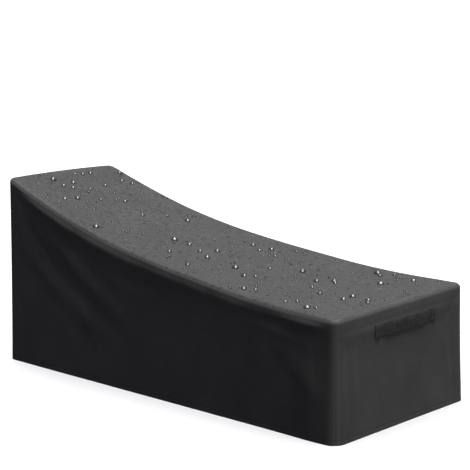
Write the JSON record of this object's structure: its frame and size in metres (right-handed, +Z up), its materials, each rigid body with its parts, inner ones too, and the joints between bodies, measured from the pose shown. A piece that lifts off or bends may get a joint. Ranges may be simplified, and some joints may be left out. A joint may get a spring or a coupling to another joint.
{
  "type": "chaise lounge cover",
  "caption": "Fitted rain cover for a chaise lounge: dark coated cloth sewn as a long box, open below, high at the head and low at the foot, with a webbing handle at the foot end.",
  "frame": {"origin": "on the underside of the top panel, at mid-length on the centreline, where the covered chair carries the cloth", "axes": "+X from the high head end to the low foot end, +Z up, -Y the right-hand side of someone who lies under it"},
  "size_m": [2.0241, 0.904, 0.8534],
  "materials": {
    "coated_cloth": "fine plain weave with a waterproof coating, low sheen",
    "webbing": "matte ribbed webbing"
  },
  "bodies": {
    "root": {"top_panel": "coated_cloth", "side_panel_right": "coated_cloth", "side_panel_left": "coated_cloth", "head_panel": "coated_cloth", "foot_panel": "coated_cloth", "handle_strap": "webbing"}
  },
  "joints": []
}
